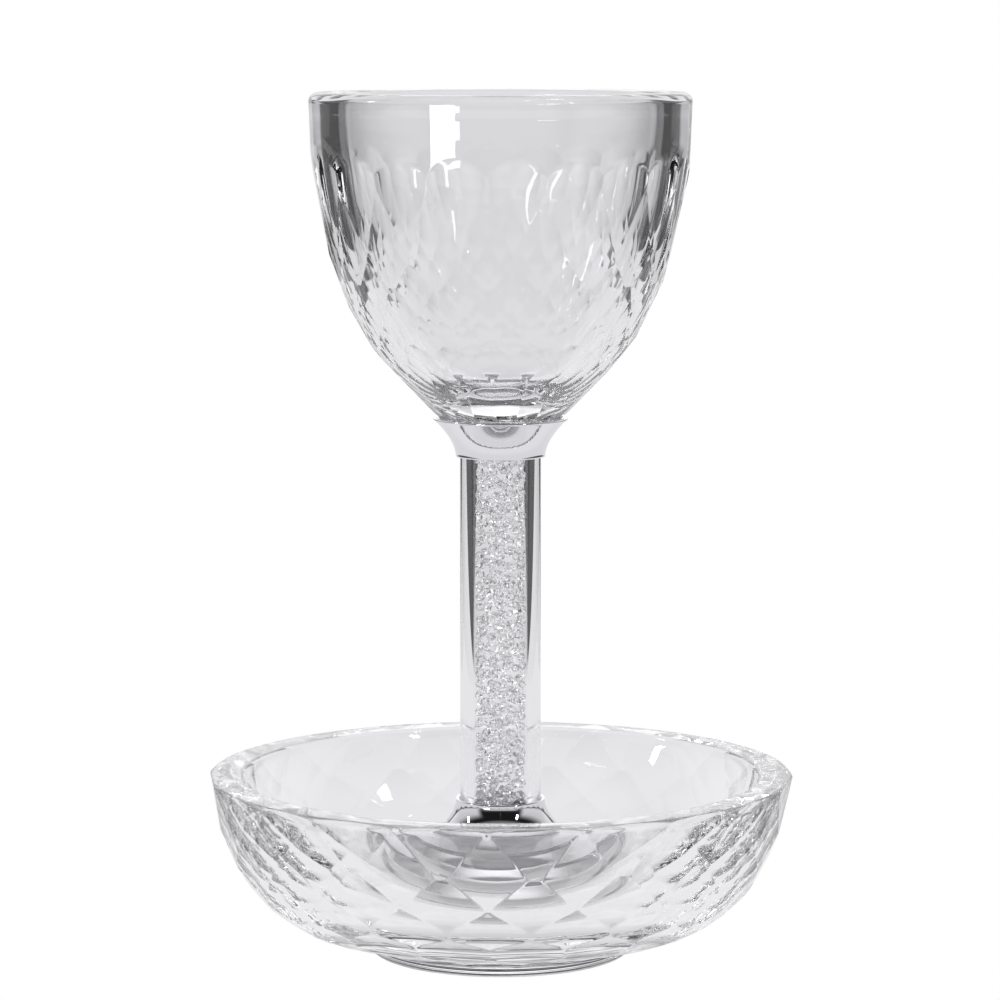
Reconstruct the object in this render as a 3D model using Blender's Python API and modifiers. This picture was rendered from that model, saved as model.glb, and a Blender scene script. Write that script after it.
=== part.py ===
"""Crystal kiddush cup standing in its own deep crystal dish.

The goblet is a cut crystal bowl on a clear tube filled with small crystals, held between two flared
chrome collars, on a clear foot that rests on the dish's floor. Everything is turned, or cut in rows of
flats, about one upright axis. Metres, Z up, origin on the table under the middle of the dish.
"""
import math

import bpy

MM = 0.001

# Clearances and smoothness
FIT_GAP = 0.3 * MM  # between pieces that touch
OVERRUN = 4.0 * MM  # how far a cutter runs past what it cuts
MERGE = 0.00001
ROUND_STEPS = 56  # sides of a turned form
COLLAR_STEPS = 48
CURVE_STEPS = 9  # straight pieces in a turned curve
LIP_STEPS = 3  # straight pieces in a rounded edge
QUARTER_TURN = math.pi / 2

# Dish
DISH_FLATS = 20  # flats round each row
DISH_TURN = math.radians(-2.5)  # where the rim's corners lie, from +X
DISH_RIM_RADIUS = 59.0 * MM  # to the corners of the rim
DISH_HEIGHT = 36.4 * MM
DISH_WALL = 6.4 * MM  # at the rim
DISH_FLOOR = 13.0 * MM  # inner floor above the table
DISH_FLOOR_RADIUS = 27.0 * MM
DISH_INSIDE_POWER = 2.3  # of the curve from the floor up to the rim
DISH_BASE_RADIUS = 26.7 * MM
DISH_BASE_HEIGHT = 3.0 * MM
DISH_BASE_BEVEL = 1.8 * MM
DISH_RIM_BEVEL = 0.9 * MM

# Goblet foot
FOOT_RADIUS = 26.2 * MM
FOOT_DISC = 5.0 * MM  # thickness of its disc
FOOT_BEVEL = 0.8 * MM
FOOT_FILLET = 2.5 * MM  # between the disc and the boss under the collar
FOOT_HEIGHT = 10.0 * MM  # up to the mouth of the collar

# Collars, the lower one upside down
COLLAR_HEIGHT = 7.8 * MM
COLLAR_NECK_RADIUS = 8.95 * MM
COLLAR_MOUTH_RADIUS = 13.45 * MM
COLLAR_LIP = 0.75 * MM  # thickness at the mouth
COLLAR_SOCKET = 3.2 * MM  # how deep the tube sits
COLLAR_WEB = 1.0 * MM  # between the tube and the glass
COLLAR_FLARE = 1.78  # power of the trumpet curve
COLLAR_SEAT_TAPER = 2.8 * MM  # how much narrower the seat is at the web

# Stem
STEM_LENGTH = 69.4 * MM  # of tube that shows between the collars
TUBE_RADIUS = 8.1 * MM
TUBE_BORE_RADIUS = 5.45 * MM

# Cup
CUP_FLATS = 20
CUP_TURN = math.radians(-4.3)  # where the corners between the top flats lie, from +X
CUP_RIM_RADIUS = 38.1 * MM
CUP_HEIGHT = 64.7 * MM  # above the mouth of the collar
CUP_WALL = 5.8 * MM  # at the rim
CUP_BASE = 6.5 * MM  # glass under the inside, above the collar's mouth
CUP_FLOOR_RADIUS = 5.0 * MM
CUP_LIP_ROUNDING = 2.0 * MM
CUP_DRAFT = 0.04  # lean of the plain band under the lip

# Rows of flats as (share of height, share of radius) at the middle of a flat, from the top row down. The
# two sets stand half a flat apart. Each share is of the way from the seat to the rim.
CUP_ROWS = (
    ((0.822, 0.985), (0.505, 0.845), (0.343, 0.694), (0.209, 0.504)),
    ((0.725, 0.959), (0.425, 0.781), (0.252, 0.573), (0.088, 0.242)),
)
DISH_ROWS = (
    ((0.689, 0.948), (0.314, 0.756), (0.0, 0.317)),
    ((1.0, 1.026), (0.497, 0.872), (0.150, 0.593), (0.0, 0.088)),
)

# Levels
FOOT_Z = DISH_FLOOR + FIT_GAP
LOWER_MOUTH_Z = FOOT_Z + FOOT_HEIGHT
LOWER_NECK_Z = LOWER_MOUTH_Z + COLLAR_HEIGHT
UPPER_NECK_Z = LOWER_NECK_Z + STEM_LENGTH
UPPER_MOUTH_Z = UPPER_NECK_Z + COLLAR_HEIGHT
RIM_Z = UPPER_MOUTH_Z + CUP_HEIGHT
SEAT_DEPTH = COLLAR_HEIGHT - COLLAR_SOCKET - COLLAR_WEB
SEAT_MOUTH_RADIUS = COLLAR_MOUTH_RADIUS - COLLAR_LIP
SEAT_END_RADIUS = SEAT_MOUTH_RADIUS - COLLAR_SEAT_TAPER
TUBE_START_Z = LOWER_NECK_Z - COLLAR_SOCKET + FIT_GAP
TUBE_END_Z = UPPER_NECK_Z + COLLAR_SOCKET - FIT_GAP


def collection(name):
    group = bpy.data.collections.new(name)
    bpy.context.scene.collection.children.link(group)
    return group


def material(name, colour, roughness, metallic=0.0, clear=0.0):
    finish = bpy.data.materials.new(name)
    finish.use_nodes = True
    shader = finish.node_tree.nodes["Principled BSDF"]
    shader.inputs["Base Color"].default_value = (*colour, 1.0)
    shader.inputs["Roughness"].default_value = roughness
    shader.inputs["Metallic"].default_value = metallic
    shader.inputs["Transmission Weight"].default_value = clear
    return finish


def turned(name, outline, steps, group, turn=0.0, smooth=True):
    """Turns an outline of (radius, height) about Z. The outline runs down the form's outer side."""
    mesh = bpy.data.meshes.new(name)
    points = [(radius, 0.0, height) for radius, height in outline]
    mesh.from_pydata(points, [(i, i + 1) for i in range(len(points) - 1)], [])
    form = bpy.data.objects.new(name, mesh)
    form.rotation_euler.z = turn
    group.objects.link(form)
    screw = form.modifiers.new("Turn", "SCREW")
    screw.axis = "Z"
    screw.steps = steps
    screw.render_steps = steps
    screw.use_merge_vertices = True
    screw.merge_threshold = MERGE
    screw.use_smooth_shade = smooth
    return form


def cutter(name, outline, steps, turn=0.0, smooth=True):
    tool = turned(name, outline, steps, cutters, turn, smooth)
    tool.hide_render = True
    tool.display_type = "WIRE"
    return tool


def combine(form, tool, operation):
    cut = form.modifiers.new(tool.name, "BOOLEAN")
    cut.operation = operation
    cut.solver = "EXACT"
    cut.object = tool


def rounded_edge(centre, radius, start, end, steps=LIP_STEPS):
    """Points of an arc, by angle from +X, both ends counted."""
    angles = [start + (end - start) * i / steps for i in range(steps + 1)]
    return [(centre[0] + radius * math.cos(a), centre[1] + radius * math.sin(a)) for a in angles]


def bowl_inside(floor_radius, top_radius, floor_z, top_z):
    """A quarter of an ellipse from the top of a bowl's inside down to the edge of its floor."""
    points = []
    for i in range(CURVE_STEPS + 1):
        angle = QUARTER_TURN * (1 - i / CURVE_STEPS)
        radius = floor_radius + (top_radius - floor_radius) * math.sin(angle)
        points.append((radius, top_z - (top_z - floor_z) * math.cos(angle)))
    return points


def flats_outline(rows, seat, rim, top_z):
    """Outline of one set of flats, at their corners, with the top row carried on past the rim."""
    points = []
    for height_share, radius_share in rows:
        radius = seat[0] + radius_share * (rim[0] - seat[0])
        points.append((radius, seat[1] + height_share * (rim[1] - seat[1])))
    (r0, z0), (r1, z1) = points[:2]
    lean = (r0 - r1) / (z0 - z1)
    if top_z > z0:
        points.insert(0, (r0 + lean * (top_z - z0), top_z))
    return points


def at_corners(points, flats):
    """Carries an outline at the middle of the flats out to the corners between them."""
    stretch = 1 / math.cos(math.pi / flats)
    return [(radius * stretch, height) for radius, height in points]


def solid(points):
    """Closes an outline on the axis at both ends."""
    return [(0.0, points[0][1]), *points, (0.0, points[-1][1])]


def dish_inside(top_radius):
    """From the top of the dish's inside down to the edge of its floor."""
    points = []
    for i in range(CURVE_STEPS + 1):
        share = 1 - i / CURVE_STEPS
        radius = DISH_FLOOR_RADIUS + (top_radius - DISH_FLOOR_RADIUS) * share
        points.append((radius, DISH_FLOOR + (DISH_HEIGHT - DISH_FLOOR) * share ** DISH_INSIDE_POWER))
    return points


def make_dish():
    rim = (DISH_RIM_RADIUS * math.cos(math.pi / DISH_FLATS), DISH_HEIGHT)
    seat = (DISH_BASE_RADIUS, DISH_BASE_HEIGHT)
    upper, lower = (flats_outline(rows, seat, rim, DISH_HEIGHT) for rows in DISH_ROWS)
    upper[0] = (rim[0], DISH_HEIGHT - DISH_RIM_BEVEL)
    upper.insert(0, (rim[0] - DISH_RIM_BEVEL, DISH_HEIGHT))
    lower.insert(0, (lower[0][0], DISH_HEIGHT + OVERRUN))
    lower.append((lower[-1][0], DISH_BASE_HEIGHT - OVERRUN))
    half_flat = math.pi / DISH_FLATS
    blank = solid(at_corners(upper, DISH_FLATS))
    dish = turned("dish", blank, DISH_FLATS, parts, DISH_TURN, smooth=False)
    flats = cutter("dish_lower_flats", solid(at_corners(lower, DISH_FLATS)), DISH_FLATS,
                   DISH_TURN + half_flat, smooth=False)
    base = cutter("dish_base", solid([
        (DISH_BASE_RADIUS, (DISH_BASE_HEIGHT + DISH_FLOOR) / 2),
        (DISH_BASE_RADIUS, DISH_BASE_BEVEL),
        (DISH_BASE_RADIUS - DISH_BASE_BEVEL, 0.0),
    ]), ROUND_STEPS)
    inner_radius = rim[0] - DISH_WALL
    hollow = [(inner_radius, DISH_HEIGHT + OVERRUN), *dish_inside(inner_radius)]
    inside = cutter("dish_inside", solid(hollow), ROUND_STEPS)
    combine(dish, flats, "INTERSECT")
    combine(dish, base, "UNION")
    combine(dish, inside, "DIFFERENCE")
    return dish


def collar_outline():
    """Half section of a collar with its mouth up: seat, trumpet, then the tube's socket, from z = 0."""
    trumpet = []
    for i in range(CURVE_STEPS + 1):
        share = 1 - i / CURVE_STEPS
        radius = COLLAR_NECK_RADIUS + (COLLAR_MOUTH_RADIUS - COLLAR_NECK_RADIUS) * share ** COLLAR_FLARE
        trumpet.append((radius, COLLAR_HEIGHT * share))
    web_top = COLLAR_SOCKET + COLLAR_WEB
    seat = [(0.0, web_top), (SEAT_END_RADIUS, web_top), (SEAT_MOUTH_RADIUS, COLLAR_HEIGHT)]
    bore = TUBE_RADIUS + FIT_GAP
    return [*seat, *trumpet, (bore, 0.0), (bore, COLLAR_SOCKET), (0.0, COLLAR_SOCKET)]


def make_collar(name, neck_z, mouth_up):
    """A collar on its level. Upside down, the outline is read backwards so that it still runs down."""
    side = 1 if mouth_up else -1
    outline = [(radius, neck_z + side * height) for radius, height in collar_outline()]
    return turned(name, outline if mouth_up else outline[::-1], COLLAR_STEPS, parts)


def make_foot():
    """A disc, then a boss as wide as the collar's seat, with a plug that goes up into it."""
    boss = SEAT_MOUTH_RADIUS - FIT_GAP
    disc_top = FOOT_Z + FOOT_DISC
    plug = [(SEAT_END_RADIUS - FIT_GAP, LOWER_MOUTH_Z + SEAT_DEPTH - FIT_GAP), (boss, LOWER_MOUTH_Z)]
    fillet_centre = (boss + FOOT_FILLET, disc_top + FOOT_FILLET)
    fillet = rounded_edge(fillet_centre, FOOT_FILLET, 2 * QUARTER_TURN, 3 * QUARTER_TURN)
    disc = [
        (FOOT_RADIUS - FOOT_BEVEL, disc_top),
        (FOOT_RADIUS, disc_top - FOOT_BEVEL),
        (FOOT_RADIUS, FOOT_Z + FOOT_BEVEL),
        (FOOT_RADIUS - FOOT_BEVEL, FOOT_Z),
    ]
    return turned("foot", solid(plug + fillet + disc), ROUND_STEPS, parts)


def make_tube():
    """A ring section that starts and ends on the same corner."""
    corners = [(TUBE_BORE_RADIUS, TUBE_END_Z), (TUBE_RADIUS, TUBE_END_Z), (TUBE_RADIUS, TUBE_START_Z),
               (TUBE_BORE_RADIUS, TUBE_START_Z)]
    tube = turned("stem_tube", corners, COLLAR_STEPS, parts)
    loop = tube.data
    loop.edges.add(1)
    loop.edges[-1].vertices = (len(corners) - 1, 0)
    return tube


def make_crystal_fill():
    radius = TUBE_BORE_RADIUS - FIT_GAP
    core = [(radius, TUBE_END_Z), (radius, TUBE_START_Z)]
    return turned("crystal_fill", solid(core), COLLAR_STEPS, parts)


def make_cup():
    mouth = SEAT_MOUTH_RADIUS - FIT_GAP
    plug_z = UPPER_MOUTH_Z - SEAT_DEPTH + FIT_GAP
    lip_centre = (CUP_RIM_RADIUS - CUP_LIP_ROUNDING, RIM_Z - CUP_LIP_ROUNDING)
    skirt_z = UPPER_MOUTH_Z + CUP_BASE
    skirt_radius = CUP_RIM_RADIUS - CUP_DRAFT * (RIM_Z - skirt_z)
    blank = rounded_edge(lip_centre, CUP_LIP_ROUNDING, QUARTER_TURN, 0.0)
    blank += [(skirt_radius, skirt_z), (mouth, UPPER_MOUTH_Z), (SEAT_END_RADIUS - FIT_GAP, plug_z)]
    cup = turned("cup", solid(blank), ROUND_STEPS + CUP_FLATS, parts)

    seat = (mouth * math.cos(math.pi / CUP_FLATS), UPPER_MOUTH_Z)
    for index, rows in enumerate(CUP_ROWS):
        flats = flats_outline(rows, seat, (CUP_RIM_RADIUS, RIM_Z), RIM_Z + OVERRUN)
        flats += [seat, (seat[0], plug_z - OVERRUN)]
        turn = CUP_TURN + index * math.pi / CUP_FLATS
        faceted = solid(at_corners(flats, CUP_FLATS))
        tool = cutter(f"cup_flats_{index + 1}", faceted, CUP_FLATS, turn, smooth=False)
        combine(cup, tool, "INTERSECT")

    inner_radius = CUP_RIM_RADIUS - CUP_WALL
    lip_inside = (inner_radius + CUP_LIP_ROUNDING, RIM_Z - CUP_LIP_ROUNDING)
    hollow = [(lip_inside[0] + OVERRUN, RIM_Z + OVERRUN)]
    hollow += rounded_edge(lip_inside, CUP_LIP_ROUNDING, QUARTER_TURN, 2 * QUARTER_TURN)[:-1]
    hollow += bowl_inside(CUP_FLOOR_RADIUS, inner_radius, UPPER_MOUTH_Z + CUP_BASE, lip_inside[1])
    inside = cutter("cup_inside", solid(hollow), ROUND_STEPS)
    combine(cup, inside, "DIFFERENCE")
    return cup


for old in list(bpy.data.objects):
    bpy.data.objects.remove(old)

parts = collection("kiddush_cup")
cutters = collection("cutters")

crystal = material("crystal", (0.97, 0.97, 0.98), 0.02, clear=1.0)
chips = material("crystal_chips", (0.93, 0.93, 0.95), 0.08, clear=0.6)
chrome = material("chrome", (0.78, 0.78, 0.8), 0.06, metallic=1.0)

make_dish().data.materials.append(crystal)
make_foot().data.materials.append(crystal)
make_collar("lower_collar", LOWER_NECK_Z, mouth_up=False).data.materials.append(chrome)
make_tube().data.materials.append(crystal)
make_crystal_fill().data.materials.append(chips)
make_collar("upper_collar", UPPER_NECK_Z, mouth_up=True).data.materials.append(chrome)
make_cup().data.materials.append(crystal)
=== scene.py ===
"""Cut crystal kiddush cup on a stem of small crystals, standing in its own crystal dish."""
import math

import bpy
import numpy as np
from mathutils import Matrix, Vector


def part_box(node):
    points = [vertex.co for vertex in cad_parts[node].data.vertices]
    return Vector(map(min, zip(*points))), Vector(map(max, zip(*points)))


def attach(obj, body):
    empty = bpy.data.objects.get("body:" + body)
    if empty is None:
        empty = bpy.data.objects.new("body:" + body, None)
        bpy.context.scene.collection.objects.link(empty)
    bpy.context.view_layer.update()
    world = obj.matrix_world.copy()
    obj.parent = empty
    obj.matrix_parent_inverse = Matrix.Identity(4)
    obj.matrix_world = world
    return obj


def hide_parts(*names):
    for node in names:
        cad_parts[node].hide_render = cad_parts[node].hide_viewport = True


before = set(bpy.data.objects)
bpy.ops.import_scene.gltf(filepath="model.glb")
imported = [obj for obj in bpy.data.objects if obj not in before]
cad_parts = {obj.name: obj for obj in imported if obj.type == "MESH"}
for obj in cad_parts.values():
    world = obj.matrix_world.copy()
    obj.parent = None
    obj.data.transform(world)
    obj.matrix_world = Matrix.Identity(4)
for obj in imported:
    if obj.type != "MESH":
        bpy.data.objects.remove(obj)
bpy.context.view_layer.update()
MM = 0.001

# The dish is one piece of pressed crystal. Its outside is cut in rows of twenty flats, each row half a
# flat on from the last, so that they meet in a honeycomb. It stands on a low round base, and its inside
# is smooth.
DISH_FLATS = 20
DISH_TURN = math.radians(-2.5)  # a corner of the rim, from +X
DISH_RIM_RADIUS = 59.0 * MM  # at the rim's corners
DISH_WALL = 6.4 * MM
DISH_FLOOR = 13.0 * MM
DISH_FLOOR_RADIUS = 27.0 * MM
DISH_INSIDE_POWER = 2.3  # of the curve from the floor up to the rim
DISH_BASE_RADIUS = 26.7 * MM
DISH_BASE_HEIGHT = 3.0 * MM
DISH_BASE_BEVEL = 1.8 * MM
DISH_RIM_ROUNDING = 1.0 * MM
DISH_CURVE_STEPS = 40  # down its inside
# Ends of each row's flats as (share of height, share of radius) between the base and the rim
DISH_ROWS = (
    ((0.689, 0.948), (0.314, 0.756), (0.0, 0.317)),
    ((1.0, 1.026), (0.497, 0.872), (0.150, 0.593), (0.0, 0.088)),
)
EDGE_SOFTNESS = 0.035 * MM  # how far fire polish has sunk the edges between flats
FLAT_COLUMNS = 10  # columns of the mesh in half a flat
CROWDING = 1.6  # how strongly the columns crowd to where two flats meet
MEETING_RANGE = (0.12, 0.88)  # where that may lie, as shares of half a flat
RING_SPACING = 0.5 * MM
ABOVE_BASE = 0.01 * MM  # from the base's edge to the first row of flats
EDGE_STEPS = 6  # in the arc of a rounded edge
CRYSTAL_TINT = (0.98, 0.98, 0.988)
PALEST_STREAK = 0.992  # of the tint, in faint streaks
STREAK_SCALE = 90.0
RIPPLE_STRETCH = (1.0, 1.0, 0.45)  # ripples run up and down the wall
CRYSTAL_IOR = 1.52  # index of refraction


class Socket:
    """A node's output. Sums and products of sockets and numbers add Math nodes to the tree."""

    def __init__(self, tree, link):
        self.tree = tree
        self.link = link

    @classmethod
    def node(cls, tree, kind, settings=None, sockets=None, output=0):
        """Adds a node, sets its settings, then gives each of its sockets a value or a link."""
        node = tree.nodes.new(kind)
        for name, value in (settings or {}).items():
            setattr(node, name, value)
        for name, value in (sockets or {}).items():
            if isinstance(value, Socket):
                tree.links.new(value.link, node.inputs[name])
            else:
                node.inputs[name].default_value = value
        return cls(tree, node.outputs[output]) if node.outputs else node

    def other(self, name):
        return Socket(self.tree, self.link.node.outputs[name])

    def maths(self, operation, *values):
        return Socket.node(self.tree, "ShaderNodeMath", {"operation": operation},
                           dict(enumerate((self, *values))))

    def __add__(self, value):
        return self.maths("ADD", value)

    def __sub__(self, value):
        return self.maths("SUBTRACT", value)

    def __mul__(self, value):
        return self.maths("MULTIPLY", value)

    def __truediv__(self, value):
        return self.maths("DIVIDE", value)

    def __rsub__(self, value):
        return self * -1.0 + value

    def __rtruediv__(self, value):
        return self.maths("POWER", -1.0) * value

    __radd__ = __add__
    __rmul__ = __mul__

    def eased(self, start, end, low=0.0, high=1.0):
        """Goes smoothly from low to high as this value goes from start to end."""
        return Socket.node(
            self.tree, "ShaderNodeMapRange", {"interpolation_type": "SMOOTHSTEP"},
            {"Value": self, "From Min": start, "From Max": end, "To Min": low, "To Max": high},
            "Result")


def new_material(name):
    finish = bpy.data.materials.new(name)
    finish.use_nodes = True
    finish.node_tree.nodes.clear()
    return finish, finish.node_tree


def crystal(name, ripple, ripple_size, tint=CRYSTAL_TINT, roughness=0.0):
    """Clear pressed crystal, with faint ripples left by the mould and a tint that hardly varies."""
    finish, tree = new_material(name)
    place = Socket.node(tree, "ShaderNodeTexCoord", output="Object")
    stretched = Socket.node(tree, "ShaderNodeMapping", sockets={
        "Vector": place, "Scale": RIPPLE_STRETCH})
    waves = Socket.node(tree, "ShaderNodeTexNoise", sockets={
        "Vector": stretched, "Scale": 1.0 / ripple_size, "Detail": 1.5, "Roughness": 0.4})
    bump = Socket.node(tree, "ShaderNodeBump", sockets={
        "Strength": 1.0, "Distance": ripple, "Height": waves})
    streaks = Socket.node(tree, "ShaderNodeTexNoise", sockets={"Vector": stretched, "Scale": STREAK_SCALE})
    palest = [PALEST_STREAK * level for level in tint]
    colour = Socket.node(
        tree, "ShaderNodeMix", {"data_type": "RGBA"},
        {"Factor": streaks, "A": (*palest, 1.0), "B": (*tint, 1.0)}, "Result")
    shader = Socket.node(tree, "ShaderNodeBsdfPrincipled", sockets={
        "Base Color": colour, "Roughness": roughness, "IOR": CRYSTAL_IOR, "Transmission Weight": 1.0,
        "Normal": bump})
    Socket.node(tree, "ShaderNodeOutputMaterial", sockets={"Surface": shader})
    return finish


def row_ends(rows, base, rim):
    """Ends of a set's flats as (radius, height), top to bottom."""
    return [(base[0] + width * (rim[0] - base[0]), base[1] + height * (rim[1] - base[1]))
            for height, width in rows]


def reach(ends, height):
    """How far from the axis the flats of a set are at their middles, at a height."""
    planes = []
    for (upper_radius, upper_height), (lower_radius, lower_height) in zip(ends, ends[1:]):
        lean = (upper_radius - lower_radius) / (upper_height - lower_height)
        planes.append(upper_radius + lean * (height - upper_height))
    return min(planes)


def ring_angles(flats, turn, meeting):
    """Angles of a ring's points, closest together where the two sets of flats meet."""
    half = math.pi / flats
    side = FLAT_COLUMNS // 2
    closeness = [(i / side) ** CROWDING for i in range(side)]
    first = [meeting * (1 - share) for share in [1.0, *closeness[:0:-1]]]
    second = [meeting + (half - meeting) * share for share in closeness]
    there = first + second
    back = [2 * half - angle for angle in [half, *there[:0:-1]]]
    return np.array([turn + 2 * half * k + angle for k in range(flats) for angle in there + back])


def meeting_angle(first, second, flats):
    """Where, from the middle of a flat of the first set, it meets the flats of the second."""
    half = math.pi / flats
    angle = math.atan((second - first * math.cos(half)) / (first * math.sin(half)))
    nearest, farthest = MEETING_RANGE
    return min(max(angle, nearest * half), farthest * half)


def ring_heights(marks, spacing=RING_SPACING):
    """Heights between marks, closer together near each of them."""
    heights = []
    for low, high in zip(marks, marks[1:]):
        count = max(3, round((high - low) / spacing))
        heights += [low + (high - low) * (1 - math.cos(math.pi * i / count)) / 2 for i in range(count)]
    return heights + [marks[-1]]


def arc(centre, radius, start, end, steps):
    """Points of an arc, by angle in degrees from outward, both ends counted."""
    angles = [math.radians(start + (end - start) * i / steps) for i in range(steps + 1)]
    return [(centre[0] + radius * math.cos(a), centre[1] + radius * math.sin(a)) for a in angles]


def turned(name, outline, angles, finish):
    """Turns an outline that starts and ends on the axis: outside from the bottom up, then inside down."""
    columns = len(angles[0])
    points = [(0.0, 0.0, outline[0][1])]
    for (radius, height), around in zip(outline[1:-1], angles):
        points += [(radius * math.cos(a), radius * math.sin(a), height) for a in around]
    points.append((0.0, 0.0, outline[-1][1]))
    faces = []
    rings = len(outline) - 2
    for j in range(columns):
        k = (j + 1) % columns
        faces.append((0, 1 + k, 1 + j))
        for i in range(rings - 1):
            low, high = 1 + i * columns, 1 + (i + 1) * columns
            faces.append((low + j, low + k, high + k, high + j))
        last = 1 + (rings - 1) * columns
        faces.append((last + j, last + k, len(points) - 1))
    mesh = bpy.data.meshes.new(name)
    mesh.from_pydata(points, [], faces)
    mesh.materials.append(finish)
    mesh.shade_smooth()
    piece = bpy.data.objects.new(name, mesh)
    bpy.context.scene.collection.objects.link(piece)
    return piece


def row_cutting_tree():
    """Cuts one row of flats round a turned blank, as on a wheel, and leaves the rest of it alone."""
    tree = bpy.data.node_groups.new("Row of flats", "GeometryNodeTree")
    sizes = ("Flats", "Turn", "Upper Radius", "Upper Height", "Lower Radius", "Lower Height", "Above",
             "Edge Softness")
    tree.interface.new_socket("Geometry", in_out="INPUT", socket_type="NodeSocketGeometry")
    for size in sizes:
        tree.interface.new_socket(size, in_out="INPUT", socket_type="NodeSocketFloat")
    tree.interface.new_socket("Finish", in_out="INPUT", socket_type="NodeSocketMaterial")
    tree.interface.new_socket("Geometry", in_out="OUTPUT", socket_type="NodeSocketGeometry")
    given = Socket.node(tree, "NodeGroupInput")
    flats, turn, r1, z1, r2, z2, above, softness = (given.other(size) for size in sizes)
    place = Socket.node(tree, "GeometryNodeInputPosition")
    x = Socket.node(tree, "ShaderNodeSeparateXYZ", sockets={"Vector": place})
    y, z = x.other("Y"), x.other("Z")
    radius = (x * x + y * y).maths("SQRT").maths("MAXIMUM", 0.00001)
    half = math.pi / flats
    off_middle = (y.maths("ARCTAN2", x) - turn).maths("PINGPONG", half)
    plane = r1 + (z - z1) * (r1 - r2) / (z1 - z2)
    cut = radius.maths("SMOOTH_MIN", plane / off_middle.maths("COSINE"), softness)
    share = cut / radius
    scale = Socket.node(tree, "ShaderNodeCombineXYZ", sockets={"X": share, "Y": share, "Z": 1.0})
    moved = Socket.node(tree, "ShaderNodeVectorMath", {"operation": "MULTIPLY"}, {0: place, 1: scale})
    result = Socket.node(tree, "GeometryNodeSetPosition", sockets={
        "Geometry": given, "Selection": z.maths("GREATER_THAN", above), "Position": moved})
    result = Socket.node(tree, "GeometryNodeRealizeInstances", sockets={"Geometry": result})
    result = Socket.node(tree, "GeometryNodeSetMaterial", sockets={
        "Geometry": result, "Material": given.other("Finish")})
    Socket.node(tree, "NodeGroupOutput", sockets={"Geometry": result})
    return tree


def add_nodes(piece, tree, values):
    """Adds a node tree to a piece's modifiers, with a value for each of its named inputs."""
    inputs = [item for item in tree.interface.items_tree if item.in_out == "INPUT"]
    identifiers = {item.name: item.identifier for item in inputs}
    step = piece.modifiers.new(tree.name, "NODES")
    step.node_group = tree
    for name, value in values.items():
        step[identifiers[name]] = value


def made_plain(piece):
    """The piece's evaluated mesh, with its modifiers used up."""
    seen = piece.evaluated_get(bpy.context.evaluated_depsgraph_get())
    mesh = bpy.data.meshes.new_from_object(seen)
    piece.modifiers.clear()
    piece.data = mesh
    mesh.shade_smooth()
    return piece


row_of_flats = row_cutting_tree()


def cut_rows(piece, sets, flats, turn, above, finish):
    """Cuts both sets of flats, the second half a flat on from the first."""
    half = math.pi / flats
    for index, ends in enumerate(sets):
        for (upper_radius, upper_height), (lower_radius, lower_height) in zip(ends, ends[1:]):
            add_nodes(piece, row_of_flats, {
                "Flats": float(flats), "Turn": turn + half * (1 - index),
                "Upper Radius": upper_radius, "Upper Height": upper_height,
                "Lower Radius": lower_radius, "Lower Height": lower_height,
                "Above": above, "Edge Softness": EDGE_SOFTNESS, "Finish": finish})
    return made_plain(piece)


def flat_disc(radius, height, rings):
    """Points of a level disc, from its edge to near its middle."""
    return [(radius * (1 - i / rings), height) for i in range(1, rings)]


dish_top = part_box("dish")[1].z
rim_middle = DISH_RIM_RADIUS * math.cos(math.pi / DISH_FLATS)
dish_sets = [row_ends(rows, (DISH_BASE_RADIUS, DISH_BASE_HEIGHT), (rim_middle, dish_top))
             for rows in DISH_ROWS]
dish_sets[0].insert(0, (rim_middle, dish_top))
dish_marks = sorted({height for ends in dish_sets for _, height in ends})
rim_low = dish_top - DISH_RIM_ROUNDING
dish_marks[-1] = rim_low
dish_heights = ring_heights([dish_marks[0] + ABOVE_BASE, *dish_marks[1:]])
uncut = 1 / math.cos(math.pi / DISH_FLATS)  # the blank is wider, so that every flat reaches its edges
inner_rim = rim_middle - DISH_WALL
outline = [(0.0, 0.0), *flat_disc(DISH_BASE_RADIUS - DISH_BASE_BEVEL, 0.0, 8)[::-1]]
outline += arc((DISH_BASE_RADIUS - DISH_BASE_BEVEL, DISH_BASE_BEVEL), DISH_BASE_BEVEL, -90, 0, EDGE_STEPS)
outline += [(DISH_BASE_RADIUS, DISH_BASE_HEIGHT)]
outline += [(DISH_RIM_RADIUS * uncut, height) for height in dish_heights]
outline += arc((DISH_RIM_RADIUS - DISH_RIM_ROUNDING, rim_low), DISH_RIM_ROUNDING, 0, 90, EDGE_STEPS)[1:]
outline += arc((inner_rim + DISH_RIM_ROUNDING, rim_low), DISH_RIM_ROUNDING, 90, 180, EDGE_STEPS)
inside_height = rim_low - DISH_FLOOR
for share in np.linspace(1.0, 0.0, DISH_CURVE_STEPS + 1)[1:]:
    outline.append((DISH_FLOOR_RADIUS + (inner_rim - DISH_FLOOR_RADIUS) * share,
                    DISH_FLOOR + inside_height * share ** DISH_INSIDE_POWER))
outline += [*flat_disc(DISH_FLOOR_RADIUS, DISH_FLOOR, 10), (0.0, DISH_FLOOR)]
dish_angles = []
for radius, height in outline[1:-1]:
    first, second = (reach(ends, max(height, DISH_BASE_HEIGHT)) for ends in dish_sets)
    meeting = meeting_angle(first, second, DISH_FLATS)
    dish_angles.append(ring_angles(DISH_FLATS, DISH_TURN + math.pi / DISH_FLATS, meeting))
dish_crystal = crystal("dish crystal", ripple=0.02 * MM, ripple_size=11 * MM)
dish = turned("crystal_dish", outline, dish_angles, dish_crystal)
cut_rows(dish, dish_sets, DISH_FLATS, DISH_TURN, DISH_BASE_HEIGHT, dish_crystal)
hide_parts("dish")
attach(dish, "root")

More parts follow.
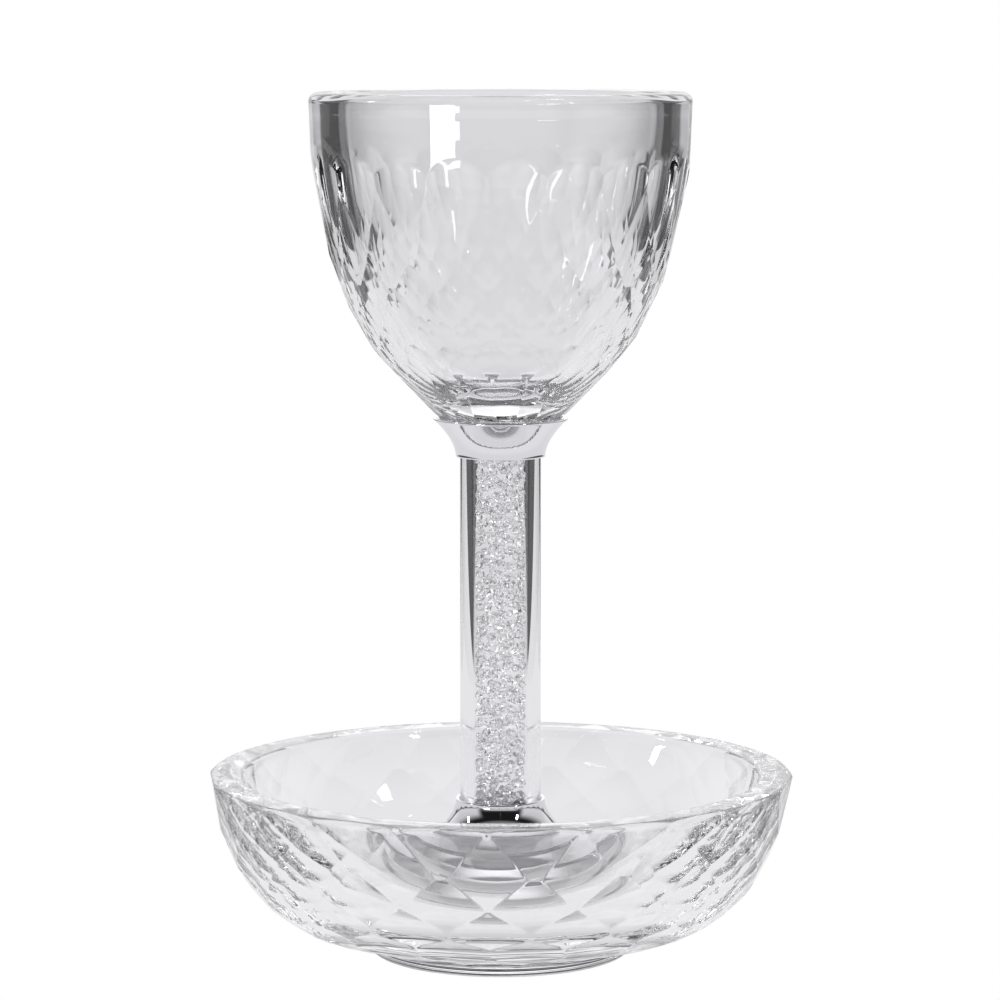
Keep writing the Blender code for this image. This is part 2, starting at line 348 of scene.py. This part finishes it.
# The goblet's foot is a thick disc of clear crystal that rests on the dish's floor. The boss in its middle
# is ground, and goes up into the lower collar.
FOOT_DISC = 5.0 * MM
FOOT_BEVEL = 0.8 * MM
FOOT_FILLET = 2.5 * MM
COLLAR_LIP = 0.75 * MM
FIT_GAP = 0.3 * MM  # between pieces that touch
SEAT_TAPER = 2.8 * MM  # how much narrower a collar's seat is at its bottom
FOOT_COLUMNS = 192
FILLET_STEPS = 10
GROUND_ROUGHNESS = 0.55
GROUND_FROM = 0.1 * MM  # below the disc's top


def uniform(count):
    """Angles of points spaced evenly round the axis."""
    return np.linspace(0.0, 2 * math.pi, count, endpoint=False)


foot_low, foot_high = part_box("foot")
collar_low, collar_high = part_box("lower_collar")
foot_radius = foot_high.x
mouth_radius = collar_high.x - COLLAR_LIP - FIT_GAP
disc_top = foot_low.z + FOOT_DISC
edge = foot_radius - FOOT_BEVEL
outline = [(0.0, foot_low.z), *flat_disc(edge, foot_low.z, 8)[::-1]]
outline += arc((edge, foot_low.z + FOOT_BEVEL), FOOT_BEVEL, -90, 0, 5)
outline += arc((edge, disc_top - FOOT_BEVEL), FOOT_BEVEL, 0, 90, 5)
outline += arc((mouth_radius + FOOT_FILLET, disc_top + FOOT_FILLET), FOOT_FILLET, 270, 180, FILLET_STEPS)
outline += [(mouth_radius, collar_low.z), (mouth_radius - SEAT_TAPER, foot_high.z)]
outline += [*flat_disc(mouth_radius - SEAT_TAPER, foot_high.z, 4), (0.0, foot_high.z)]
foot_crystal = crystal("foot crystal", ripple=0.005 * MM, ripple_size=9 * MM)
ground = crystal("ground crystal", ripple=0.001 * MM, ripple_size=9 * MM, roughness=GROUND_ROUGHNESS)
foot = turned("crystal_foot", outline, [uniform(FOOT_COLUMNS)] * len(outline), foot_crystal)
foot.data.materials.append(ground)
for face in foot.data.polygons:
    off_axis = math.hypot(face.center.x, face.center.y)
    if face.center.z > disc_top - GROUND_FROM and off_axis < mouth_radius + FOOT_FILLET:
        face.material_index = 1
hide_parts("foot")
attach(foot, "root")

# Two flared collars of polished chrome hold the tube of the stem, one to the foot and one to the cup. Each
# is turned from one blank, a trumpet outside, with a seat for the crystal at its mouth and a socket for the
# tube.
COLLAR_FLARE = 1.78  # power of the trumpet's curve
COLLAR_SOCKET = 3.2 * MM
COLLAR_WEB = 1.0 * MM
COLLAR_NECK_RADIUS = 8.95 * MM
COLLAR_COLUMNS = 128
TRUMPET_STEPS = 28
LIP_ROUNDING = 0.25 * MM
LIP_DEPTH = 0.4 * MM
LIP_OVERHANG = 0.12 * MM
SEAT_EDGE = 0.15 * MM  # bevels on sharp edges
SEAT_INSET = 0.1 * MM
NECK_EDGE = 0.12 * MM
SOCKET_EDGE = 0.1 * MM
CHROME = (0.83, 0.83, 0.85)
CHROME_ROUGHNESS = (0.02, 0.05)  # where it is cleanest, and in its haze


def chrome_plate():
    finish, tree = new_material("chrome plate")
    place = Socket.node(tree, "ShaderNodeTexCoord", output="Object")
    haze = Socket.node(tree, "ShaderNodeTexNoise", sockets={"Vector": place, "Scale": 160.0, "Detail": 3.0})
    shader = Socket.node(tree, "ShaderNodeBsdfPrincipled", sockets={
        "Base Color": (*CHROME, 1.0), "Metallic": 1.0,
        "Roughness": haze.eased(0.35, 0.7, *CHROME_ROUGHNESS)})
    Socket.node(tree, "ShaderNodeOutputMaterial", sockets={"Surface": shader})
    return finish


def collar_outline(neck_z, side, height, mouth, tube):
    """A collar's half section from its web's middle in the seat, over the mouth, down to the socket."""
    web = COLLAR_SOCKET + COLLAR_WEB
    seat = mouth - COLLAR_LIP
    points = [(0.0, web), (seat - SEAT_TAPER, web)]
    points += [(seat - SEAT_INSET, height - SEAT_EDGE), (seat - SEAT_INSET + SEAT_EDGE, height)]
    points += arc((mouth - LIP_ROUNDING, height - LIP_ROUNDING), LIP_ROUNDING, 90, -30, EDGE_STEPS)
    flare = mouth - LIP_OVERHANG - COLLAR_NECK_RADIUS
    for i in range(TRUMPET_STEPS + 1):
        share = 1 - i / TRUMPET_STEPS
        points.append((COLLAR_NECK_RADIUS + flare * share ** COLLAR_FLARE, (height - LIP_DEPTH) * share))
    points += [(COLLAR_NECK_RADIUS - NECK_EDGE, 0.0), (tube + NECK_EDGE, 0.0), (tube, SOCKET_EDGE)]
    points += [(tube, COLLAR_SOCKET), (0.0, COLLAR_SOCKET)]
    placed = [(radius, neck_z + side * z) for radius, z in points]
    return placed if side < 0 else placed[::-1]


chrome = chrome_plate()
tube_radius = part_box("stem_tube")[1].x
for name, side in (("lower_collar", -1), ("upper_collar", 1)):
    low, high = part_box(name)
    neck_z = high.z if side < 0 else low.z
    outline = collar_outline(neck_z, side, high.z - low.z, high.x, tube_radius + FIT_GAP)
    collar = turned("chrome_" + name, outline, [uniform(COLLAR_COLUMNS)] * len(outline), chrome)
    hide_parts(name)
    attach(collar, "root")

# The stem's tube is clear glass, thick in the wall and cut to length. Its ends are ground flat and sit in
# the collars' sockets.
TUBE_BORE_RADIUS = 5.45 * MM
TUBE_END_BEVEL = 0.25 * MM
TUBE_COLUMNS = 128
SHARP_ANGLE = math.radians(40)


def ring(name, section, columns, finish):
    """Turns a closed section about Z."""
    points, faces = [], []
    for radius, height in section:
        points += [(radius * math.cos(a), radius * math.sin(a), height) for a in uniform(columns)]
    for i in range(len(section)):
        low, high = i * columns, (i + 1) % len(section) * columns
        for j in range(columns):
            k = (j + 1) % columns
            faces.append((low + j, low + k, high + k, high + j))
    mesh = bpy.data.meshes.new(name)
    mesh.from_pydata(points, [], faces)
    mesh.materials.append(finish)
    mesh.shade_smooth()
    mesh.set_sharp_from_angle(angle=SHARP_ANGLE)
    piece = bpy.data.objects.new(name, mesh)
    bpy.context.scene.collection.objects.link(piece)
    return piece


low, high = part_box("stem_tube")
bottom, top = low.z + TUBE_END_BEVEL, high.z - TUBE_END_BEVEL
inside, outside = TUBE_BORE_RADIUS + TUBE_END_BEVEL, tube_radius - TUBE_END_BEVEL
section = [(inside, low.z), (outside, low.z), (tube_radius, bottom), (tube_radius, top),
           (outside, high.z), (inside, high.z), (TUBE_BORE_RADIUS, top), (TUBE_BORE_RADIUS, bottom)]
tube_glass = crystal("tube glass", ripple=0.001 * MM, ripple_size=20 * MM)
tube = ring("glass_tube", section, TUBE_COLUMNS, tube_glass)
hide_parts("stem_tube")
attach(tube, "root")

# Small clear crystals fill the tube's bore, poured in loose and pressed up against its wall. They are laid
# in two layers round the axis, each stone turned its own way.
CHIP_SIZE = 2.3 * MM
CHIP_SPACING = 2.0 * MM
CHIP_SHELLS = (4.4 * MM, 1.9 * MM)  # radii of the layers
CHIP_SEED = 5
CHIP_SCALES = (0.65, 1.0)  # of each stone's three widths
CHIP_TURNS = (0.0, 6.28)  # about each axis
CHIP_DENSITY = 3.0e6  # more than fit, before the spacing thins them
SHELL_COLUMNS = 24
CHIP_TINT = (1.0, 1.0, 1.0)


def chips_tree():
    """Scatters angular stones over the layers, and presses back those that would stand out of the bore."""
    tree = bpy.data.node_groups.new("Crystals in the tube", "GeometryNodeTree")
    tree.interface.new_socket("Geometry", in_out="INPUT", socket_type="NodeSocketGeometry")
    for size in ("Chip Size", "Spacing", "Bore"):
        tree.interface.new_socket(size, in_out="INPUT", socket_type="NodeSocketFloat")
    tree.interface.new_socket("Seed", in_out="INPUT", socket_type="NodeSocketInt")
    tree.interface.new_socket("Finish", in_out="INPUT", socket_type="NodeSocketMaterial")
    tree.interface.new_socket("Geometry", in_out="OUTPUT", socket_type="NodeSocketGeometry")
    given = Socket.node(tree, "NodeGroupInput")
    spacing, chip_size = given.other("Spacing"), given.other("Chip Size")
    bore, seed = given.other("Bore"), given.other("Seed")
    places = Socket.node(tree, "GeometryNodeDistributePointsOnFaces", {"distribute_method": "POISSON"}, {
        "Mesh": given, "Distance Min": spacing, "Density Max": CHIP_DENSITY, "Seed": seed})
    chip = Socket.node(tree, "GeometryNodeMeshIcoSphere", sockets={
        "Radius": chip_size * 0.5, "Subdivisions": 1})
    turn, size = (
        Socket.node(tree, "FunctionNodeRandomValue", {"data_type": "FLOAT_VECTOR"}, {
            "Min": (least,) * 3, "Max": (most,) * 3, "Seed": seed})
        for least, most in (CHIP_TURNS, CHIP_SCALES))
    chips = Socket.node(tree, "GeometryNodeInstanceOnPoints", sockets={
        "Points": places, "Instance": chip, "Rotation": turn, "Scale": size})
    chips = Socket.node(tree, "GeometryNodeRealizeInstances", sockets={"Geometry": chips})
    place = Socket.node(tree, "GeometryNodeInputPosition")
    x = Socket.node(tree, "ShaderNodeSeparateXYZ", sockets={"Vector": place})
    y = x.other("Y")
    share = (bore / (x * x + y * y).maths("SQRT")).maths("MINIMUM", 1.0)
    scale = Socket.node(tree, "ShaderNodeCombineXYZ", sockets={"X": share, "Y": share, "Z": 1.0})
    pressed = Socket.node(tree, "ShaderNodeVectorMath", {"operation": "MULTIPLY"}, {0: place, 1: scale})
    chips = Socket.node(tree, "GeometryNodeSetPosition", sockets={"Geometry": chips, "Position": pressed})
    chips = Socket.node(tree, "GeometryNodeSetMaterial", sockets={
        "Geometry": chips, "Material": given.other("Finish")})
    Socket.node(tree, "NodeGroupOutput", sockets={"Geometry": chips})
    return tree


def shell(name, radii, low, high):
    """Open cylinders, one in the other, that the chips lie on."""
    points, faces = [], []
    for radius in radii:
        start = len(points)
        for height in (low, high):
            points += [(radius * math.cos(a), radius * math.sin(a), height) for a in uniform(SHELL_COLUMNS)]
        upper = start + SHELL_COLUMNS
        for j in range(SHELL_COLUMNS):
            k = (j + 1) % SHELL_COLUMNS
            faces.append((start + j, start + k, upper + k, upper + j))
    mesh = bpy.data.meshes.new(name)
    mesh.from_pydata(points, [], faces)
    piece = bpy.data.objects.new(name, mesh)
    bpy.context.scene.collection.objects.link(piece)
    return piece


fill_low, fill_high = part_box("crystal_fill")
half_chip = CHIP_SIZE / 2
chip_crystal = crystal("small crystals", ripple=0.0005 * MM, ripple_size=2 * MM, tint=CHIP_TINT)
chips = shell("small_crystals", CHIP_SHELLS, fill_low.z + half_chip, fill_high.z - half_chip)
add_nodes(chips, chips_tree(), {"Chip Size": CHIP_SIZE, "Spacing": CHIP_SPACING, "Bore": fill_high.x,
                                "Seed": CHIP_SEED, "Finish": chip_crystal})
made_plain(chips)
chips.data.shade_flat()
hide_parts("crystal_fill")
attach(chips, "root")

# The cup is pressed crystal with thick walls and a plain band under its rounded lip. Below the band it is
# cut in rows of flats like the dish, and its solid bottom is ground to sit in the upper collar.
CUP_FLATS = 20
CUP_TURN = math.radians(-4.3)
CUP_WALL = 5.8 * MM
CUP_BASE = 6.5 * MM
CUP_FLOOR_RADIUS = 5.0 * MM
CUP_LIP_ROUNDING = 2.0 * MM
CUP_DRAFT = 0.04  # how much the blank narrows with depth
CUP_RING_SPACING = 0.45 * MM
CUP_CURVE_STEPS = 44  # down its inside
CUP_LIP_STEPS = 10
CUP_SEAT_EDGE = 0.02 * MM
BAND_MARK = 14 * MM  # below the rim, where the rings of the mesh crowd again
# Ends of each row's flats, as for the dish, between the collar and the rim
CUP_ROWS = (
    ((0.822, 0.985), (0.505, 0.845), (0.343, 0.694), (0.209, 0.504), (0.0, 0.0)),
    ((0.725, 0.959), (0.425, 0.781), (0.252, 0.573), (0.088, 0.242), (0.0, 0.0)),
)


def bowl_inside(floor_radius, top_radius, floor_z, top_z, steps):
    """A quarter of an ellipse from the top of a bowl's inside down to the edge of its floor."""
    angles = [math.pi / 2 * (1 - i / steps) for i in range(steps + 1)]
    return [(floor_radius + (top_radius - floor_radius) * math.sin(a),
             top_z - (top_z - floor_z) * math.cos(a)) for a in angles]


cup_low, cup_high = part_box("cup")
cup_radius = cup_high.x
mouth_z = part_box("upper_collar")[1].z
seat_middle = mouth_radius * math.cos(math.pi / CUP_FLATS)
cup_sets = [row_ends(rows, (seat_middle, mouth_z), (cup_radius, cup_high.z)) for rows in CUP_ROWS]
for ends in cup_sets:
    (r1, z1), (r2, z2) = ends[:2]
    ends[0] = (r1 + (r1 - r2) / (z1 - z2) * (cup_high.z - z1), cup_high.z)
marks = sorted({height for ends in cup_sets for _, height in ends[1:]})
skirt_z = mouth_z + CUP_BASE
skirt_radius = cup_radius - CUP_DRAFT * (cup_high.z - skirt_z)
lip_z = cup_high.z - CUP_LIP_ROUNDING
heights = ring_heights([*marks, cup_high.z - BAND_MARK, lip_z], CUP_RING_SPACING)
seat_end = mouth_radius - SEAT_TAPER
outline = [(0.0, cup_low.z), *flat_disc(seat_end, cup_low.z, 5)[::-1]]
outline += [(seat_end - CUP_SEAT_EDGE, cup_low.z), (seat_end, cup_low.z + CUP_SEAT_EDGE)]
outline += [(mouth_radius - CUP_SEAT_EDGE, mouth_z - CUP_SEAT_EDGE)]
for height in heights:
    if height < skirt_z:
        share = (height - mouth_z) / CUP_BASE
        radius = mouth_radius + (skirt_radius - mouth_radius) * share
    else:
        radius = cup_radius - CUP_DRAFT * (cup_high.z - height)
    outline.append((radius, height))
outline += arc((cup_radius - CUP_LIP_ROUNDING, lip_z), CUP_LIP_ROUNDING, 0, 90, CUP_LIP_STEPS)[1:]
inner = cup_radius - CUP_WALL
outline += arc((inner + CUP_LIP_ROUNDING, lip_z), CUP_LIP_ROUNDING, 90, 180, CUP_LIP_STEPS)
outline += bowl_inside(CUP_FLOOR_RADIUS, inner, skirt_z, lip_z, CUP_CURVE_STEPS)[1:]
outline += [*flat_disc(CUP_FLOOR_RADIUS, skirt_z, 4), (0.0, skirt_z)]
angles = []
for radius, height in outline[1:-1]:
    first, second = (reach(ends, max(height, mouth_z)) for ends in cup_sets)
    meeting = meeting_angle(first, second, CUP_FLATS)
    angles.append(ring_angles(CUP_FLATS, CUP_TURN + math.pi / CUP_FLATS, meeting))
cup_crystal = crystal("cup crystal", ripple=0.02 * MM, ripple_size=8 * MM)
cup = turned("crystal_cup", outline, angles, cup_crystal)
cut_rows(cup, cup_sets, CUP_FLATS, CUP_TURN, mouth_z, cup_crystal)
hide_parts("cup")
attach(cup, "root")

# The studio. The piece stands on a sheet of white paper that runs back and hangs behind it, in a dim room
# with soft light round it and three lamps. The sheet and the room are levels of grey on the sky and on the
# table, and the camera itself sees plain white. Under the dish a painted shadow darkens the table, and the
# paper's light falls off away from the piece.
SHEET_HALF_WIDTH = 0.34
SHEET_EDGE = 0.012
SHEET_FRONT = (-0.75, -0.45)  # it fades out towards the camera
SHEET_RISE = (1.0, 1.6)  # where it leaves the table
HANGING_EDGE = (0.52, 0.42)  # tangents of the angles where the hanging sheet has ended, and starts to end
SHEET_LIGHT = (0.80, 1.45)  # at its foot, and higher up
# painted shadow: the level of the table's light under the dish, darker than the paper round it
PAINTED_SHADOW_UNDER_DISH = 0.36
PAPER_LIGHT = 0.84
ROOM_LIGHT = 0.08
SIDE_LIGHT = 0.65  # low down at both sides
FRONT_LIGHT = 0.5  # low down behind the camera
BACK_LIGHT = 0.8  # beside the hanging sheet
CANOPY_LIGHT = 0.2  # high over the front
TABLE_IN_FRONT = 0.3
COOLNESS = 1.015  # blue in the paper's light, against its red and green
FLOOR_DROP = 0.05 * MM  # keeps the table's face off the dish's
LAMP_AIM = 0.12


def axes(tree, output):
    """A direction or a place as x to the right, y away from the camera and z up."""
    place = Socket.node(tree, "ShaderNodeTexCoord", output=output)
    x = Socket.node(tree, "ShaderNodeSeparateXYZ", sockets={"Vector": place})
    return x, x.other("Y"), x.other("Z")


def white_to_camera(tree, level):
    """A grey of that level, but plain white where the camera looks straight at it."""
    seen = Socket.node(tree, "ShaderNodeLightPath", output="Is Camera Ray")
    grey = (1.0 - seen) * level
    red = seen + grey
    blue = seen + grey * COOLNESS
    return Socket.node(tree, "ShaderNodeCombineColor", sockets={"Red": red, "Green": red, "Blue": blue})


world = bpy.data.worlds.new("studio")
bpy.context.scene.world = world
world.use_nodes = True
tree = world.node_tree
tree.nodes.clear()
# Each light ends softly between two values of a direction's x, y or z
x, y, z = axes(tree, "Generated")
aside = x.maths("ABSOLUTE") / y.maths("MAXIMUM", 0.001)
behind = aside.eased(*HANGING_EDGE)
sheet = z.eased(0.02, 0.16, *SHEET_LIGHT) * z.eased(0.75, 0.5) * aside.eased(0.03, 0.4, 1.0, 0.72)
sides = y.eased(0.75, 0.45) * y.eased(-0.65, -0.4) * z.eased(0.6, 0.35) * SIDE_LIGHT
front = y.eased(-0.65, -0.85) * z.eased(0.26, 0.18) * FRONT_LIGHT
back = y.eased(0.45, 0.75) * z.eased(0.06, 0.16) * z.eased(0.75, 0.5) * BACK_LIGHT
high = z.eased(0.64, 0.72) * y.eased(0.35, 0.1) * CANOPY_LIGHT
room = sides + front + back + high + ROOM_LIGHT * z.eased(0.2, 0.34, 1.0, 0.15)
level = room + behind * (sheet - room)
sky = Socket.node(tree, "ShaderNodeBackground", sockets={"Color": white_to_camera(tree, level)})
Socket.node(tree, "ShaderNodeOutputWorld", sockets={"Surface": sky})

bpy.ops.mesh.primitive_plane_add(size=40)
floor = bpy.context.object
floor.name = "floor"
floor.location.z = -FLOOR_DROP
# The table glows with levels of light, with a painted shadow under the dish.
finish, tree = new_material("white table with painted shadow")
x, y, z = axes(tree, "Object")
distance = (x * x + y * y).maths("SQRT")
lying = (SHEET_HALF_WIDTH - x.maths("ABSOLUTE")).eased(-SHEET_EDGE, SHEET_EDGE) * y.eased(*SHEET_FRONT)
far = y.eased(*SHEET_RISE)
aside = x.maths("ABSOLUTE") / y.maths("MAXIMUM", 0.001)
on_sheet = lying + far * (aside.eased(*HANGING_EDGE) - lying)
# The paper's light: a painted shadow under the dish, a little brighter round it, falling off farther out
# and darker towards the sides where the sheet hangs.
paper_light_and_painted_shadow = distance.eased(0.016, 0.040, PAINTED_SHADOW_UNDER_DISH, PAPER_LIGHT) + distance.eased(0.05, 0.12, 0.0, 0.06)
paper_light_and_painted_shadow = paper_light_and_painted_shadow - distance.eased(0.07, 0.2, 0.0, 0.10) - far * aside.eased(0.03, 0.4, 0.04, 0.25)
beyond = ROOM_LIGHT + y.eased(-0.2, -0.6) * TABLE_IN_FRONT
level = beyond + on_sheet * (paper_light_and_painted_shadow - beyond)
glow = Socket.node(tree, "ShaderNodeEmission", sockets={"Color": white_to_camera(tree, level)})
Socket.node(tree, "ShaderNodeOutputMaterial", sockets={"Surface": glow})
floor.data.materials.append(finish)


def softbox(name, side, distance, height, size, radiance):
    """A lamp at an angle in degrees from straight behind the piece, aimed at it. Minus is to the left."""
    angle = math.radians(side)
    light = bpy.data.lights.new(name, "AREA")
    light.shape = "RECTANGLE"
    light.size, light.size_y = size
    light.energy = radiance * math.pi * size[0] * size[1]
    lamp = bpy.data.objects.new(name, light)
    lamp.location = (distance * math.sin(angle), distance * math.cos(angle), height)
    lamp.rotation_euler = (Vector((0, 0, LAMP_AIM)) - lamp.location).to_track_quat("-Z", "Y").to_euler()
    bpy.context.scene.collection.objects.link(lamp)


softbox("low lamp in front", side=-146, distance=1.0, height=0.06, size=(0.26, 0.10), radiance=14)
softbox("left lamp", side=-92, distance=1.1, height=0.66, size=(0.07, 0.22), radiance=20)
softbox("right lamp", side=136, distance=1.1, height=0.68, size=(0.08, 0.22), radiance=20)

scene = bpy.context.scene
scene.view_settings.view_transform = "Standard"
scene.cycles.max_bounces = 96
scene.cycles.transmission_bounces = 96
scene.cycles.glossy_bounces = 16
scene.cycles.caustics_reflective = False
scene.cycles.caustics_refractive = True

CAMERA_HEIGHT = 0.18769
CAMERA_DISTANCE = 0.800
CAMERA_ASIDE = -0.0001
AIM_HEIGHT = 0.09163
SENSOR_WIDTH = 36
FOCAL_SHARE = 4.02095  # focal length in widths of the picture
lens = bpy.data.cameras.new("camera")
lens.sensor_width = SENSOR_WIDTH
lens.lens = SENSOR_WIDTH * FOCAL_SHARE
camera = bpy.data.objects.new("camera", lens)
camera.location = (CAMERA_ASIDE, -CAMERA_DISTANCE, CAMERA_HEIGHT)
fall = math.atan2(CAMERA_HEIGHT - AIM_HEIGHT, CAMERA_DISTANCE)
camera.rotation_euler = (math.pi / 2 - fall, 0, 0)
scene.collection.objects.link(camera)
scene.camera = camera
